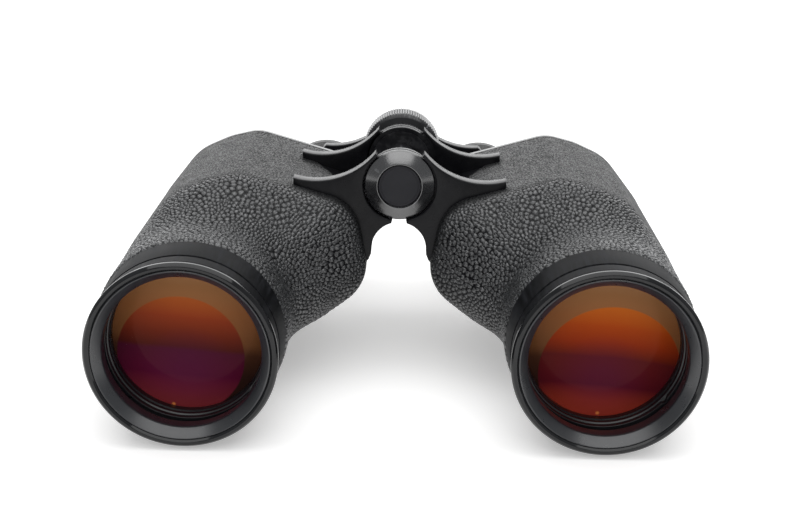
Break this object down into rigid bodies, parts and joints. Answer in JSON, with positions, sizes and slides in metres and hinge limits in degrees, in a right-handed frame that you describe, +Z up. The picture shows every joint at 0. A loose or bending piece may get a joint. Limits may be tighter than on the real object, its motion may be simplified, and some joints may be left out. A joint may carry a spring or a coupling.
{
  "type": "folding prism binoculars",
  "caption": "Black centre-focus prism binoculars with pebbled leatherette, folding hinge, amber-coated objectives, sliding ocular bridge and diopter ring.",
  "frame": {"origin": "centre of the footprint: middle plane, half way from the objective rims to the eyecups, at the lowest point of the housings", "axes": "+X across to the half on the user's left hand, +Y from the objectives to the eyepieces along the hinge axis, +Z up"},
  "size_m": [0.193, 0.18, 0.0827],
  "materials": {
    "enamel": "satin black enamel on cast light alloy",
    "leatherette": "pebbled black leatherette",
    "black_anodised": "matte black anodised",
    "bare_aluminium": "fine turned",
    "screw_steel": "blackened steel",
    "spring_brass": "plain brass",
    "coated_glass": "amber anti-reflection coating",
    "prism_glass": "polished",
    "eyecup_plastic": "matte black"
  },
  "bodies": {
    "left_half": {"left_body": "enamel", "left_leather": "leatherette", "left_rear_cover": "enamel", "left_cover_screws": "screw_steel", "left_objective_tube": "enamel", "left_hood": "enamel", "left_lens_cell": "black_anodised", "left_lens_ring": "black_anodised", "left_objective_crown": "coated_glass", "left_objective_flint": "coated_glass", "left_prism_shelf": "bare_aluminium", "left_prism_rear": "prism_glass", "left_prism_front": "prism_glass", "left_prism_clips": "spring_brass", "left_strap_lug": "screw_steel", "left_guide_tube": "bare_aluminium", "hinge_axle": "screw_steel", "hinge_washers": "black_anodised", "hinge_sleeve": "enamel", "front_cap": "enamel", "cap_disc": "enamel", "scale_ring": "enamel"},
    "right_half": {"right_body": "enamel", "right_leather": "leatherette", "right_rear_cover": "enamel", "right_cover_screws": "screw_steel", "right_objective_tube": "enamel", "right_hood": "enamel", "right_lens_cell": "black_anodised", "right_lens_ring": "black_anodised", "right_objective_crown": "coated_glass", "right_objective_flint": "coated_glass", "right_prism_shelf": "bare_aluminium", "right_prism_rear": "prism_glass", "right_prism_front": "prism_glass", "right_prism_clips": "spring_brass", "right_strap_lug": "screw_steel", "right_guide_tube": "bare_aluminium"},
    "focus_wheel_body": {"focus_wheel": "enamel"},
    "left_eyepiece": {"left_ocular_tube": "bare_aluminium", "left_ocular_collar": "enamel", "left_eye_barrel": "black_anodised", "left_field_lens": "prism_glass", "left_eye_lens": "coated_glass", "left_eyecup": "eyecup_plastic", "left_bridge_arm": "enamel", "focus_spindle": "spring_brass", "bridge_cap": "enamel"},
    "right_eyepiece": {"right_ocular_tube": "bare_aluminium", "right_bridge_arm": "enamel"},
    "diopter_ring_body": {"right_diopter_ring": "enamel"},
    "right_eyepiece_head": {"right_eye_barrel": "black_anodised", "right_field_lens": "prism_glass", "right_eye_lens": "coated_glass", "right_eyecup": "eyecup_plastic"}
  },
  "joints": [
    {"name": "fold", "type": "hinge", "parent": "left_half", "child": "right_half", "pos_m": [0, 0, 0.0683], "axis": [0, 1, 0], "range_deg": [-16, 31]},
    {"name": "focus_turn", "type": "hinge", "parent": "left_half", "child": "focus_wheel_body", "pos_m": [0, 0.037, 0.0683], "axis": [0, 1, 0], "range_deg": [-180, 180]},
    {"name": "left_focus_slide", "type": "slide", "parent": "left_half", "child": "left_eyepiece", "axis": [0, 1, 0], "range_m": [-0.004, 0.004]},
    {"name": "right_focus_slide", "type": "slide", "parent": "right_half", "child": "right_eyepiece", "axis": [0, 1, 0], "range_m": [-0.004, 0.004]},
    {"name": "diopter_turn", "type": "hinge", "parent": "right_eyepiece", "child": "diopter_ring_body", "pos_m": [-0.032, 0.06, 0.04281], "axis": [0, 1, 0], "range_deg": [-90, 90]},
    {"name": "diopter_slide", "type": "slide", "parent": "right_eyepiece", "child": "right_eyepiece_head", "axis": [0, 1, 0], "range_m": [-0.0015, 0.0015]}
  ],
  "couplings": [
    {"joint": "focus_turn", "follows": "left_focus_slide", "rad_per_m": 785.4},
    {"joint": "right_focus_slide", "follows": "left_focus_slide", "ratio": 1},
    {"joint": "diopter_turn", "follows": "diopter_slide", "rad_per_m": 1047.2}
  ]
}
